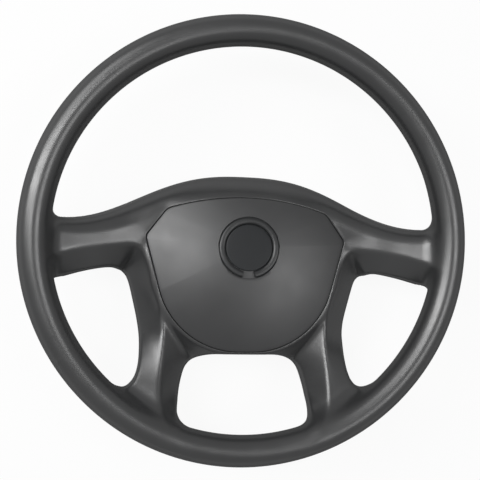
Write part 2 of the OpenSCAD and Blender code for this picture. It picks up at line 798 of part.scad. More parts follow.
// Shoulder screws that guide the moving plate and hold it down against the springs
module guide_screws() {
    color("#8f9193") for (p = both(guide_xy)) translate([p[0], p[1], base_top]) {
        translate([0, 0, -sheet_t - 1.2]) cylinder(r = guide_thread_r, h = sheet_t + 1.2 + eps);
        cylinder(r = guide_r, h = plate_gap + sheet_t + seat_gap);
        translate([0, 0, plate_gap + sheet_t + seat_gap - eps]) cylinder(r = guide_r + 2, h = guide_head_h);
    }
}

module horn_terminal() {
    color("#b9a15a") difference() {
        union() {
            translate([-terminal_w / 2, terminal_y - 5, base_z - terminal_t])
                cube([terminal_w, 10, terminal_t]);
            translate([-terminal_w / 2, terminal_y - 5, base_z - terminal_drop])
                cube([terminal_w, terminal_t, terminal_drop]);
            translate([0, terminal_y, base_z - terminal_t]) cylinder(r = terminal_rivet_r, h = sheet_t + 2);
        }
        translate([0, terminal_y - 6, base_z - terminal_drop + 2]) rotate([-90, 0, 0]) cylinder(r = 0.8, h = 4);
    }
}

// One return spring, swept along its helix, with its two end turns closed
spring_turns = 3.5;
spring_steps = 13;
spring_sides = 6;
spring_h = plate_gap - 0.1;
function spring_rise(turn) = let(
    closed = 0.75,
    free = spring_turns - 2 * closed,
    share = min(1, max(0, (turn - closed) / free)),
    ends = spring_wire * 1.06 * (min(turn, closed) + max(0, turn - spring_turns + closed)),
    pitch_rise = spring_h - spring_wire - 2 * spring_wire * 1.06 * closed
) ends + share * pitch_rise;
module horn_spring(index) {
    p = both(guide_xy)[index];
    rings = ceil(spring_turns * spring_steps);
    points = [for (i = [0:rings], k = [0:spring_sides - 1]) let(
        turn = spring_turns * i / rings,
        a = 360 * turn,
        b = 360 * (k + 0.5) / spring_sides,
        r = spring_r + spring_wire / 2 * cos(b)
    ) [r * cos(a), r * sin(a), spring_rise(turn) + spring_wire / 2 * (1 + sin(b))]];
    skins = [for (i = [0:rings - 1], k = [0:spring_sides - 1]) let(
        a = i * spring_sides + k,
        b = i * spring_sides + (k + 1) % spring_sides
    ) [a, a + spring_sides, b + spring_sides, b]];
    first = [for (k = [0:spring_sides - 1]) k];
    last = [for (k = [spring_sides - 1:-1:0]) rings * spring_sides + k];
    color("#7d8084") translate([p[0], p[1], base_top + 0.05])
        polyhedron(points, concat(skins, [first], [last]), convexity = 6);
}

grip_moulding();
rim_core();
spider();
hub_insert();
hub_washer();
hub_nut();
back_cover();
cover_screws();
contact_carrier();
slip_ring();
carrier_screws();
horn_pad();
badge_disc();
badge_ring();
pad_plate();
pad_screws();
base_plate();
base_screws();
insulating_bushes();
insulating_washers();
fixed_contacts();
moving_contacts();
guide_screws();
horn_terminal();
horn_spring(0);  // horn_spring_1
horn_spring(1);  // horn_spring_2
horn_spring(2);  // horn_spring_3
horn_spring(3);  // horn_spring_4
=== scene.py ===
"""Dresses the moulded steering wheel: grip, horn pad, trim, fittings, floor, lights and camera."""

import json
import logging
import math
from dataclasses import dataclass, field
from enum import Enum
from typing import NamedTuple, Optional, Sequence

import bpy
import numpy as np
from mathutils import Matrix, Quaternion, Vector


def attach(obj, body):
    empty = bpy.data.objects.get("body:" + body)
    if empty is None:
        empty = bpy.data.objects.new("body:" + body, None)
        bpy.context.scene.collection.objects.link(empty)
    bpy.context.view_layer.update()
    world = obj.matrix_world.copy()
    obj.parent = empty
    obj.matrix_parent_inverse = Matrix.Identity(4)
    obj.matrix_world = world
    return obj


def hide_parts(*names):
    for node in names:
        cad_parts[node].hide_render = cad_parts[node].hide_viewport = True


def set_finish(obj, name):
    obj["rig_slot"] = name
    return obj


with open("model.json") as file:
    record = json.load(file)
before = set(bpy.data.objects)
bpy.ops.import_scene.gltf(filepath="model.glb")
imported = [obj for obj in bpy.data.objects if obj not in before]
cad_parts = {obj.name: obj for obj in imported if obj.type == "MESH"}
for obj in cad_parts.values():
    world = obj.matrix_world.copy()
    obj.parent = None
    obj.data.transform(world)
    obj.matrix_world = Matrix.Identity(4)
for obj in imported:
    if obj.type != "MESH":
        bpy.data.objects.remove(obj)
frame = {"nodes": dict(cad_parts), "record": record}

LOG = logging.getLogger("steering_wheel")
MM = 0.001


class Body(Enum):
    """The two bodies of the wheel that pieces ride on."""

    WHEEL = "wheel"
    PAD = "pad"


def arc_points(centre: Sequence[float], radius: float, start: float, end: float, steps: int) -> list:
    """Points on a circle's arc.

    Args:
        centre: X and Y of the circle's centre.
        radius: Radius of the circle.
        start: First angle in degrees.
        end: Last angle in degrees.
        steps: Number of chords.

    Returns:
        The points as (x, y) pairs, both ends included.
    """
    angles = np.radians(np.linspace(start, end, steps + 1))
    return [(centre[0] + radius * math.cos(a), centre[1] + radius * math.sin(a)) for a in angles]


def convex_outline(points: Sequence) -> np.ndarray:
    """Convex outline round a cloud of points, anticlockwise.

    Args:
        points: The (x, y) pairs to wrap.

    Returns:
        The corners of the outline, one per row.
    """
    ordered = sorted(set((round(x, 6), round(y, 6)) for x, y in points))

    def half(run: Sequence) -> list:
        """One side of the outline."""
        kept: list = []
        for p in run:
            while len(kept) > 1:
                a, b = kept[-2], kept[-1]
                if (b[0] - a[0]) * (p[1] - a[1]) - (b[1] - a[1]) * (p[0] - a[0]) > 0:
                    break
                kept.pop()
            kept.append(p)
        return kept[:-1]

    return np.array(half(ordered) + half(ordered[::-1]))


def outline_distance(outline: np.ndarray, x: np.ndarray, y: np.ndarray) -> tuple:
    """Distance of points to a closed outline, and the nearest place on it.

    Args:
        outline: Corners of the closed outline, one per row.
        x: X of the points.
        y: Y of the points.

    Returns:
        The distance, which is negative inside, X and Y of the nearest place, and the place's
        position along the outline, counted in corners.
    """
    best = np.full(x.shape, 1e12)
    near_x, near_y, along = np.zeros(x.shape), np.zeros(x.shape), np.zeros(x.shape)
    inside = np.zeros(x.shape, bool)
    for i, (a, b) in enumerate(zip(outline, np.roll(outline, -1, axis=0))):
        edge = b - a
        length = float(edge @ edge)
        if length == 0:
            continue
        t = np.clip(((x - a[0]) * edge[0] + (y - a[1]) * edge[1]) / length, 0, 1)
        cx, cy = a[0] + t * edge[0], a[1] + t * edge[1]
        gap = (x - cx) ** 2 + (y - cy) ** 2
        closer = gap < best
        best = np.where(closer, gap, best)
        near_x, near_y = np.where(closer, cx, near_x), np.where(closer, cy, near_y)
        along = np.where(closer, i + t, along)
        if a[1] != b[1]:
            spans = (a[1] <= y) != (b[1] <= y)
            inside ^= spans & (x < a[0] + (y - a[1]) / edge[1] * edge[0])
    return np.where(inside, -1, 1) * np.sqrt(best), near_x, near_y, along


def smooth_step(low: float, high: float, value: np.ndarray) -> np.ndarray:
    """Rises smoothly from 0 at low to 1 at high."""
    t = np.clip((value - low) / (high - low), 0, 1)
    return t * t * (3 - 2 * t)


def soft_max(a: np.ndarray, b: np.ndarray, reach: float) -> np.ndarray:
    """Larger of two surfaces, with the crease between them filled over the given reach."""
    h = np.clip(0.5 + 0.5 * (a - b) / reach, 0, 1)
    return b + (a - b) * h + reach * h * (1 - h)


def soft_min(a: np.ndarray, b: np.ndarray, reach: float) -> np.ndarray:
    """Smaller of two surfaces, with the crease between them eased over the given reach."""
    return -soft_max(-a, -b, reach)


def round_max(a: np.ndarray, b: np.ndarray, radius: np.ndarray) -> np.ndarray:
    """Common part of two solids, with the edge between them rounded to a radius."""
    u, v = np.maximum(a + radius, 0), np.maximum(b + radius, 0)
    return np.minimum(np.maximum(a, b), -radius) + np.sqrt(u * u + v * v)


def refine(rows: Sequence, steps: int) -> np.ndarray:
    """Smooth curve through rows of numbers, as a Catmull-Rom spline.

    Args:
        rows: The rows that the curve passes through.
        steps: Number of pieces between two rows.

    Returns:
        The finer rows.
    """
    p = np.array(rows, float)
    p = np.vstack([2 * p[0] - p[1], p, 2 * p[-1] - p[-2]])
    out = []
    for i in range(1, len(p) - 2):
        for t in np.arange(steps) / steps:
            a, b, c, d = p[i - 1], p[i], p[i + 1], p[i + 2]
            out.append(0.5 * (2 * b + (c - a) * t + (2 * a - 5 * b + 4 * c - d) * t * t
                              + (3 * b - a - 3 * c + d) * t ** 3))
    out.append(p[-2])
    return np.array(out)


def new_piece(name: str, corners: np.ndarray, faces: Sequence, body: Body, slot: str,
              replaces: Sequence = (), sharp: float = 38.0) -> bpy.types.Object:
    """Makes one piece of the wheel from corners and faces.

    Args:
        name: Name of the piece.
        corners: Corners in millimetres, one per row.
        faces: Corner numbers of each face.
        body: Body that the piece rides on.
        slot: Material slot of the record that the piece stands for.
        replaces: CAD nodes that the piece stands for.
        sharp: Angle in degrees above which an edge stays sharp.

    Returns:
        The new object.
    """
    mesh = bpy.data.meshes.new(name)
    mesh.from_pydata((np.asarray(corners) * MM).tolist(), [], [list(f) for f in faces])
    mesh.validate()
    mesh.shade_smooth()
    mesh.set_sharp_from_angle(angle=math.radians(sharp))
    piece = bpy.data.objects.new(name, mesh)
    bpy.context.scene.collection.objects.link(piece)
    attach(piece, body.value)
    if replaces:
        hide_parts(*replaces)
    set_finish(piece, slot)
    return piece


def rings_to_faces(rings: int, count: int) -> list:
    """Faces that join closed rings of corners, ring after ring.

    Args:
        rings: Number of rings.
        count: Corners in each ring.

    Returns:
        The faces, four corners each.
    """
    faces = []
    for r in range(rings - 1):
        a, b = r * count, (r + 1) * count
        faces += [(a + k, a + (k + 1) % count, b + (k + 1) % count, b + k) for k in range(count)]
    return faces


def carve(corners: np.ndarray, faces: Sequence, cutters: Sequence) -> tuple:
    """Cuts closed shapes out of a closed mesh.

    Args:
        corners: Corners of the mesh in millimetres.
        faces: Its faces.
        cutters: Corners and faces of each shape to cut away.

    Returns:
        Corners and faces of what is left.
    """
    objects = []
    for k, (points, polygons) in enumerate([(corners, faces), *cutters]):
        mesh = bpy.data.meshes.new(f"carve_{k}")
        mesh.from_pydata(np.asarray(points).tolist(), [], [list(f) for f in polygons])
        objects.append(bpy.data.objects.new(f"carve_{k}", mesh))
        bpy.context.scene.collection.objects.link(objects[-1])
    for cutter in objects[1:]:
        cut = objects[0].modifiers.new("cut", "BOOLEAN")
        cut.operation, cut.solver, cut.object = "DIFFERENCE", "MANIFOLD", cutter
    graph = bpy.context.evaluated_depsgraph_get()
    left = bpy.data.meshes.new_from_object(objects[0].evaluated_get(graph))
    points = np.array([tuple(v.co) for v in left.vertices])
    polygons = [tuple(p.vertices) for p in left.polygons]
    for o in objects:
        bpy.data.meshes.remove(o.data)
    bpy.data.meshes.remove(left)
    return points, polygons


def wrap_field(values: np.ndarray, xs: np.ndarray, ys: np.ndarray, zs: np.ndarray) -> tuple:
    """Closed mesh where a field passes through zero, one corner in each cell that it crosses.

    Args:
        values: The field on the grid, negative inside the solid.
        xs: Places of the grid's planes along X.
        ys: Places along Y.
        zs: Places along Z.

    Returns:
        The corners, one per row, and the faces, four corner numbers per row.
    """
    shape = tuple(n - 1 for n in values.shape)
    total, hits = np.zeros(shape + (3,)), np.zeros(shape)
    axes, inside, crossings = (xs, ys, zs), values < 0, []
    for axis in range(3):
        lo = [slice(None)] * 3
        hi = [slice(None)] * 3
        lo[axis], hi[axis] = slice(None, -1), slice(1, None)
        a, b = values[tuple(lo)], values[tuple(hi)]
        crossed = inside[tuple(lo)] != inside[tuple(hi)]
        crossings.append(crossed)
        cell = np.nonzero(crossed)
        share = a[cell] / (a[cell] - b[cell])
        point = np.stack([axes[k][cell[k]] for k in range(3)], axis=-1)
        step = np.diff(axes[axis])
        point[:, axis] += share * step[cell[axis]]
        others = [k for k in range(3) if k != axis]
        for di in (0, 1):
            for dj in (0, 1):
                at = list(cell)
                at[others[0]], at[others[1]] = cell[others[0]] - di, cell[others[1]] - dj
                np.add.at(total, tuple(at), point)
                np.add.at(hits, tuple(at), 1)
    used = hits > 0
    number = np.full(shape, -1)
    number[used] = np.arange(int(used.sum()))
    corners = total[used] / hits[used][:, None]
    faces = []
    for axis in range(3):
        cell = np.array(np.nonzero(crossings[axis]))
        first = inside[tuple(cell)]
        j, k = [(1, 2), (2, 0), (0, 1)][axis]
        quad = []
        for dj, dk in ((0, 0), (1, 0), (1, 1), (0, 1)):
            at = cell.copy()
            at[j] -= 1 - dj
            at[k] -= 1 - dk
            quad.append(number[tuple(at)])
        quad = np.stack(quad, axis=1)
        quad[~first] = quad[~first][:, ::-1]
        faces.append(quad)
    return corners, np.vstack(faces)


@dataclass
class PadForm:
    """Outline and crown of the horn pad, in millimetres and degrees."""

    width: float = 183.4
    top: float = 38.5
    bottom: float = 101.5
    low_r: float = 75.3
    side_len: float = 46.6
    lean: float = 15.8
    cut: float = 36.4
    cut_len: float = 24.0
    side_r: float = 7.0
    shoulder_r: float = 12.0
    dome_r: float = 300.0
    dome_y: float = -35.0
    crown_z: float = 64.0

    def outline(self, grow: float = 0.0, steps: int = 8) -> np.ndarray:
        """Outline of the pad, moved out by a distance.

        Args:
            grow: Distance that the outline moves out.
            steps: Chords in each small arc.

        Returns:
            The corners from the bottom, up the right side and down the left.
        """
        lean, cut = math.radians(self.lean), math.radians(self.cut)
        side_x = self.width / 2 - self.side_r
        run = self.low_r - self.side_r
        low = (side_x - run * math.cos(lean) - self.side_len * math.sin(lean), self.low_r - self.bottom)
        side = (side_x, low[1] - run * math.sin(lean) + self.side_len * math.cos(lean))
        back = self.side_r - self.shoulder_r
        shoulder = (side[0] + back * math.cos(cut) - self.cut_len * math.sin(cut),
                    side[1] + back * math.sin(cut) + self.cut_len * math.cos(cut))
        fall = shoulder[1] - self.top
        top_r = (self.shoulder_r ** 2 - shoulder[0] ** 2 - fall ** 2) / (2 * (fall + self.shoulder_r))
        top = (0.0, self.top - top_r)
        turn = math.degrees(math.atan2(shoulder[1] - top[1], shoulder[0]))
        half = (arc_points(low, self.low_r + grow, -90, -self.lean, 4 * steps)
                + arc_points(side, self.side_r + grow, -self.lean, self.cut, steps)
                + arc_points(shoulder, self.shoulder_r + grow, self.cut, turn, steps)
                + arc_points(top, top_r + grow, turn, 90, 2 * steps)[1:])
        return np.array([(0.0, -self.bottom - grow)] + half + [(-x, y) for x, y in half[-2::-1]])

    def crown(self, x: np.ndarray, y: np.ndarray) -> np.ndarray:
        """Height of the crowned front at a place."""
        reach = np.minimum(x ** 2 + (y - self.dome_y) ** 2, (0.8 * self.dome_r) ** 2)
        return self.crown_z - self.dome_r + np.sqrt(self.dome_r ** 2 - reach)


class Columns(NamedTuple):
    """What the grip's shape depends on at each place seen from the front."""

    top: np.ndarray
    tilt: np.ndarray
    side: np.ndarray
    bottom: np.ndarray
    upper: np.ndarray
    roll: np.ndarray
    back: np.ndarray
    across: np.ndarray


@dataclass
class GripForm:
    """Form of the one-piece moulding: rim, spokes and hub surround, in millimetres."""

    pad: PadForm = field(default_factory=PadForm)
    rim_r: float = 186.3
    rim_in: float = 172.6
    grip_w: float = 27.4
    grip_t: float = 30.0
    rim_z: float = 72.0
    spoke_top: float = 15.5
    hub_top: float = 61.0
    bell_reach: float = 166.0
    bell_power: float = 1.3
    flare: float = 0.22
    fillet: float = 14.0
    climb_start: float = 108.0
    climb_h: float = 45.0
    back_z: float = 20.0
    recess_z: float = 36.0
    pad_gap: float = 0.4
    land: float = 3.0
    rise: float = 0.32
    web_reach: float = 12.0
    valley: float = 4.0
    blur: float = 1.4
    # How far inside the rim the web between spoke and rim ends
    web_in: float = 8.0
    # Rounding of the hub's upper side at the hub, its loss towards the rim, and where that loss runs
    roll_hub: float = 21.0
    roll_loss: float = 11.0
    roll_from: float = 60.0
    roll_to: float = 168.0
    climb_reach: float = 80.0
    climb_power: float = 1.6
    flare_from: float = 3.0
    flare_reach: float = 30.0
    opening_r: float = 3.0
    back_r: float = 4.0
    # Fall of the surround away from the pad at its sides, what its low end adds, and where that runs
    side_fall: float = 0.25
    low_fall: float = 0.95
    low_from: float = -38.0
    low_to: float = -62.0
    # Height of the ridge over the pad's edge, and how widely its creases with the edge and the surround fill
    ridge_lift: float = 0.5
    ridge_blend: float = 3.0
    crease: float = 2.0
    half_reach: float = 206.0
    table_step: float = 1.0
    # Ridge of the spokes from the rim, past the pad's side corner, down to the rim again:
    # x, y, height above the middle of the rim, slope outside it, slope inside it
    ridge: tuple = (
        (205, -30, 0, 0.8, 0), (184, -22.5, 0, 0.8, 0), (167, -16.5, -1.5, 0.75, 0),
        (151, -11.5, -7, 0.55, 0), (136, -8.3, -12, 0.45, 0), (119, -6.3, -16.5, 0.6, 0),
        (105, -5.4, -20.5, 0.75, 0), (97, -8.4, -22.5, 0.85, 0), (92.6, -16.4, -23, 0.85, 0),
        (88, -29.8, -22.5, 0.85, 0), (85, -43.3, -21.5, 0.85, 0), (80.5, -56.4, -20.5, 0.85, 0.3),
        (76, -72, -19, 0.85, 0.5), (74.5, -86, -17.5, 0.75, 0.65), (75, -103, -14, 0.45, 0.75),
        (76, -123, -9, 0.1, 1.05), (76, -142, -2.5, 0.03, 1.15), (73, -155, 1.5, 0.0, 0.75),
        (69, -165, 4, 0.0, 0.5), (65, -172, 6, 0.0, 0.4), (58, -188, 8, 0.0, 0.3),
    )

    def side_opening(self) -> np.ndarray:
        """Outline of the right opening between the side spoke and the lower spoke."""
        edge = refine([(186, -44), (165, -37.6), (147, -32.2), (130, -28.8), (119.6, -29),
                       (111.4, -34.3), (107, -42.6), (102.6, -59), (98.8, -75), (96, -91), (95.5, -107),
                       (96.6, -118), (99.9, -126.8), (107, -132.6), (118, -133.6), (133, -131)], 8)
        behind = arc_points((0, 0), self.rim_in + 12, -43, -13, 24)
        return np.vstack([edge, behind])

    def bottom_opening(self) -> np.ndarray:
        """Outline of the opening between the two lower spokes."""
        edge = refine([(0, -104.4), (14, -104.5), (27, -105), (36, -106.8), (44, -110.2), (50, -114.5),
                       (54, -120.5), (57.2, -132), (59.2, -144), (60.2, -152), (60, -158.5), (59, -170)], 8)
        behind = arc_points((0, 0), self.rim_in + 12, -72, -90, 16)
        half = np.vstack([edge, behind])
        return np.vstack([half, half[-2:0:-1] * (-1, 1)])

    def upper_edge(self, x: np.ndarray) -> np.ndarray:
        """Height on the page of the hub's and the side spokes' upper edge."""
        share = np.minimum(1, (np.abs(x) / self.bell_reach) ** self.bell_power)
        return self.spoke_top + (self.hub_top - self.spoke_top) * (1 + np.cos(np.pi * share)) / 2

    def front(self, x: np.ndarray, y: np.ndarray, pad_side: tuple) -> np.ndarray:
        """Height of the spokes' and the surround's front, before its edges are rounded.

        Args:
            x: X of the places, on the right half.
            y: Y of the places.
            pad_side: Distance to the pad's outline and the nearest place on it.

        Returns:
            The heights.
        """
        fine = refine(self.ridge, 6)
        # The ridge is closed by corners far outside the wheel, so that its two sides can be told apart
        closed = np.vstack([fine[:, :2], [(58, -400), (500, -400), (500, -30)]])
        gap, _, _, along = outline_distance(closed, x, y)
        count = np.arange(len(fine))
        level, outer, inner = (np.interp(along, count, fine[:, k]) for k in (2, 3, 4))
        inward = np.where(gap > 0, gap, 0)
        outward = np.where(gap < 0, -gap, 0)
        ridge = self.rim_z + level - inner * inward - outer * outward
        beyond, near_x, near_y, _ = pad_side
        beyond = np.maximum(beyond, 0)
        edge = self.pad.crown(near_x, near_y)
        ridge = soft_min(ridge, edge + self.ridge_lift + self.rise * beyond, self.ridge_blend)
        low = smooth_step(self.low_from, self.low_to, near_y)
        fall = self.side_fall + self.low_fall * low
        surround = edge - fall * np.maximum(0, beyond - self.land * low)
        surround = np.where(beyond > 0, surround - outer * outward, self.pad.crown(x, y))
        return soft_max(surround, ridge, self.valley * low + self.crease)

    def tables(self) -> None:
        """Works out the plan distances and the front's heights once, on a flat grid."""
        n = int(self.half_reach / self.table_step)
        self.half_x = np.arange(-4, n + 1) * self.table_step
        self.half_y = np.arange(-n, n + 1) * self.table_step
        x, y = np.meshgrid(self.half_x, self.half_y, indexing="ij")
        pad_side = outline_distance(self.pad.outline(), x, y)
        top = self.front(np.abs(x), y, pad_side)
        reach = int(3 * self.blur / self.table_step) + 1
        taps = np.exp(-0.5 * (np.arange(-reach, reach + 1) * self.table_step / self.blur) ** 2)
        taps /= taps.sum()
        for axis in (0, 1):
            padded = np.pad(top, [(reach, reach) if k == axis else (0, 0) for k in (0, 1)], mode="edge")
            top = sum(w * np.take(padded, np.arange(top.shape[axis]) + i, axis=axis)
                      for i, w in enumerate(taps))
        slope = np.hypot(*np.gradient(top, self.table_step))
        self.sheets = {
            "top": top,
            "tilt": 1 / np.sqrt(1 + slope ** 2),
            "side": outline_distance(self.side_opening(), x, y)[0],
            "bottom": outline_distance(self.bottom_opening(), x, y)[0],
        }

    def lookup(self, name: str, x: np.ndarray, y: np.ndarray) -> np.ndarray:
        """Value of a table at any place, the left half mirrored from the right."""
        sheet = self.sheets[name]
        u = (np.abs(x) - self.half_x[0]) / self.table_step
        v = (y - self.half_y[0]) / self.table_step
        i = np.clip(u.astype(int), 0, sheet.shape[0] - 2)
        j = np.clip(v.astype(int), 0, sheet.shape[1] - 2)
        u, v = np.clip(u - i, 0, 1), np.clip(v - j, 0, 1)
        return ((1 - u) * (1 - v) * sheet[i, j] + u * (1 - v) * sheet[i + 1, j]
                + (1 - u) * v * sheet[i, j + 1] + u * v * sheet[i + 1, j + 1])

    def columns(self, x: np.ndarray, y: np.ndarray) -> Columns:
        """Gathers what the shape depends on at the given places."""
        across = np.hypot(x, y)
        edge = self.upper_edge(x)
        lean = (self.upper_edge(np.abs(x) + 1) - edge)
        upper = round_max(across - self.rim_in - self.web_in, (edge - y) / np.hypot(1, lean), self.fillet)
        outward = smooth_step(self.roll_from, self.roll_to, np.abs(x))
        climbed = np.clip(across - self.climb_start, 0, self.climb_reach) / (self.rim_r - self.climb_start)
        back = self.back_z + self.climb_h * climbed ** self.climb_power
        return Columns(
            top=self.lookup("top", x, y), tilt=self.lookup("tilt", x, y),
            side=self.lookup("side", x, y), bottom=self.lookup("bottom", x, y),
            upper=upper, roll=self.roll_hub - self.roll_loss * outward, back=back, across=across)

    def body(self, at: Columns, z: np.ndarray) -> np.ndarray:
        """Field of the moulding without its recesses, negative inside."""
        web = (z - at.top) * at.tilt
        flare = self.flare * np.clip(z - at.back - self.flare_from, 0, self.flare_reach)
        web = round_max(web, flare - at.upper, at.roll)
        web = round_max(web, -at.side, self.opening_r)
        web = round_max(web, -at.bottom, self.opening_r)
        web = round_max(web, at.back - z, self.back_r)
        web = np.maximum(web, at.across - self.rim_r)
        wide, deep = self.grip_w / 2, self.grip_t / 2
        oval = np.sqrt(((at.across - self.rim_r) / wide) ** 2 + ((z - self.rim_z) / deep) ** 2)
        rim = (oval - 1) * (wide + deep) / 2
        return soft_min(web, rim, self.web_reach)

    def surface(self, x: np.ndarray, y: np.ndarray, start: float = 95.0) -> np.ndarray:
        """Height of the moulding's front at places, found from above.

        Args:
            x: X of the places.
            y: Y of the places.
            start: Height to start from.

        Returns:
            The heights.
        """
        at = self.columns(x, y)
        z = np.full(x.shape, start)
        for _ in range(40):
            z = z - self.body(at, z)
        return z


@dataclass
class GripMoulding:
    """The moulded grip: wraps its form in a fine mesh and cuts the pad's recess with a soft lip."""

    form: GripForm = field(default_factory=GripForm)
    cell: float = 1.65
    quick_cell: float = 2.6
    # Rear well: centres and radius of its corners, and how far its cutter stands past both ends
    well_x: float = 44.0
    well_top: float = 16.0
    well_low: float = -44.0
    well_r: float = 15.0
    overcut: float = 5.0
    # Lip of the recess: how far it widens, and how far below the surface
    lip: tuple = ((0.0, 1.0), (0.06, 0.6), (0.2, 0.3), (0.5, 0.08), (1.1, -0.12))

    def build(self) -> bpy.types.Object:
        """Makes the moulding's mesh.

        Returns:
            The piece, on the wheel.
        """
        form = self.form
        form.tables()
        cell = self.cell
        side = np.arange(-201.5, 202, cell)
        up = np.arange(form.back_z - 2, form.rim_z + 17, cell)
        x, y = np.meshgrid(side, side, indexing="ij")
        at = form.columns(x[..., None], y[..., None])
        values = form.body(at, up[None, None, :])
        corners, faces = wrap_field(values, side, side, up)
        corners = self.settle(corners, cell)
        corners, faces = carve(corners, faces.tolist(), [self.recess(), self.well()])
        return new_piece("moulded_grip", corners, faces, Body.WHEEL, "skin", ["grip_moulding"])

    def settle(self, corners: np.ndarray, cell: float) -> np.ndarray:
        """Moves the corners on to the true surface.

        Args:
            corners: Corners from the grid.
            cell: Size of the grid's cells.

        Returns:
            The corners on the surface.
        """
        form, step = self.form, 0.2

        def value(p: np.ndarray) -> np.ndarray:
            """Field at a list of places."""
            return form.body(form.columns(p[:, 0], p[:, 1]), p[:, 2])

        for _ in range(2):
            here = value(corners)
            ahead = [value(corners + step * along) for along in np.eye(3)]
            slope = np.stack([there - here for there in ahead], axis=1) / step
            size = np.maximum((slope ** 2).sum(axis=1), 0.3)
            move = -slope * (here / size)[:, None]
            long = np.maximum(np.linalg.norm(move, axis=1) / (0.5 * cell), 1)
            corners = corners + move / long[:, None]
        return corners

    def recess(self) -> tuple:
        """Shape that cuts the pad's recess: upright walls that widen into a soft lip.

        Returns:
            Corners and faces.
        """
        form, rings = self.form, []
        foot = form.pad.outline(form.pad_gap, 16)
        rings.append(np.column_stack([foot, np.full(len(foot), form.recess_z)]))
        for wider, below in self.lip:
            flat = form.pad.outline(form.pad_gap + wider, 16)
            rings.append(np.column_stack([flat, form.surface(flat[:, 0], flat[:, 1]) - below]))
        rings.append(np.column_stack([flat, np.full(len(flat), 110.0)]))
        count = len(foot)
        faces = rings_to_faces(len(rings), count)
        total = len(rings) * count
        faces += [tuple(range(count - 1, -1, -1)), tuple(range(total - count, total))]
        return np.vstack(rings), faces

    def well(self) -> tuple:
        """Shape that cuts the rear well in which the spider's plate sits.

        Returns:
            Corners and faces.
        """
        form = self.form
        centres = [(x, y) for x in (-self.well_x, self.well_x) for y in (self.well_top, self.well_low)]
        flat = convex_outline([p for c in centres for p in arc_points(c, self.well_r, 0, 360, 32)])
        count = len(flat)
        ends = (form.back_z - self.overcut, form.recess_z + self.overcut)
        rings = [np.column_stack([flat, np.full(count, z)]) for z in ends]
        faces = rings_to_faces(2, count)
        faces += [tuple(range(count - 1, -1, -1)), tuple(range(count, 2 * count))]
        return np.vstack(rings), faces


@dataclass
class BadgePlace:
    """The trim ring and the plain disc, and the seat in the pad that holds them."""

    low: float = 6.7
    ring_d: float = 55.0
    disc_d: float = 42.5
    gap: float = 11.0
    seat: float = 1.6
    proud: float = 0.9
    play: float = 0.25

    def frame(self, form: PadForm) -> Matrix:
        """Place of the badge: tilted on to the crown, with its origin on it.

        Args:
            form: Form of the pad.

        Returns:
            The matrix that brings badge points to the wheel, in millimetres.
        """
        tilt = math.asin((-self.low - form.dome_y) / form.dome_r)
        centre = Vector((0, form.dome_y, form.crown_z - form.dome_r))
        on_crown = Matrix.Translation((0, 0, form.dome_r))
        return Matrix.Translation(centre) @ Matrix.Rotation(-tilt, 4, "X") @ on_crown

    def place(self, form: PadForm, points: np.ndarray) -> np.ndarray:
        """Brings badge points on to the pad."""
        m = np.array(self.frame(form))
        return np.asarray(points) @ m[:3, :3].T + m[:3, 3]

    def turned(self, profile: Sequence, start: float, end: float, steps: int, closed: bool) -> tuple:
        """Turns a profile round the badge's axis.

        Args:
            profile: Radius and height of the profile's points.
            start: First angle in degrees.
            end: Last angle in degrees.
            steps: Number of steps round.
            closed: Whether the ring closes on itself.

        Returns:
            Corners and faces.
        """
        count = len(profile)
        angles = np.radians(np.linspace(start, end, steps + 1))
        angles = angles[:-1] if closed else angles
        corners = [(r * math.cos(a), r * math.sin(a), z) for a in angles for r, z in profile]
        faces = []
        turns = len(angles)
        for i in range(turns if closed else turns - 1):
            a, b = i * count, (i + 1) % turns * count
            faces += [(a + k, b + k, b + (k + 1) % count, a + (k + 1) % count) for k in range(count)]
        if not closed:
            faces.append(tuple(range(count)))
            faces.append(tuple((turns - 1) * count + k for k in range(count - 1, -1, -1)))
        return np.array(corners), faces

    def build(self, form: PadForm) -> list:
        """Makes the ring and the disc.

        Args:
            form: Form of the pad.

        Returns:
            The two pieces.
        """
        inner, outer, crest = self.disc_d / 2 + 0.3, self.ring_d / 2, self.seat + self.proud
        profile = [(inner, 0.05), (outer, 0.05), (outer, crest - 1.2), (outer - 0.25, crest - 0.7),
                   (outer - 0.8, crest - 0.25), (outer - 1.7, crest - 0.03), (outer - 2.9, crest),
                   (inner + 2.2, crest - 0.05), (inner + 1.2, crest - 0.3), (inner + 0.5, crest - 0.75),
                   (inner + 0.1, crest - 1.3)]
        half = math.degrees(math.asin(self.gap / 2 / (self.ring_d / 2 - 3.2)))
        corners, faces = self.turned(profile, -90 + half, 270 - half, 150, False)
        corners[:, 2] -= self.seat
        ring = new_piece("badge_trim_ring", self.place(form, corners), faces, Body.PAD, "trim_ring",
                         ["badge_ring"], 50)
        r = self.disc_d / 2 - 0.1
        disc_profile = [(0.01, 0.05), (r, 0.05), (r, 0.9), (r - 0.15, 1.15), (r - 0.5, 1.32),
                        (r - 1.2, 1.4), (r - 6, 1.55), (r - 12, 1.68), (0.01, 1.75)]
        corners, faces = self.turned(disc_profile, 0, 360, 128, True)
        corners[:, 2] -= self.seat
        disc = new_piece("badge_plain_disc", self.place(form, corners), faces, Body.PAD, "badge",
                         ["badge_disc"], 50)
        return [ring, disc]


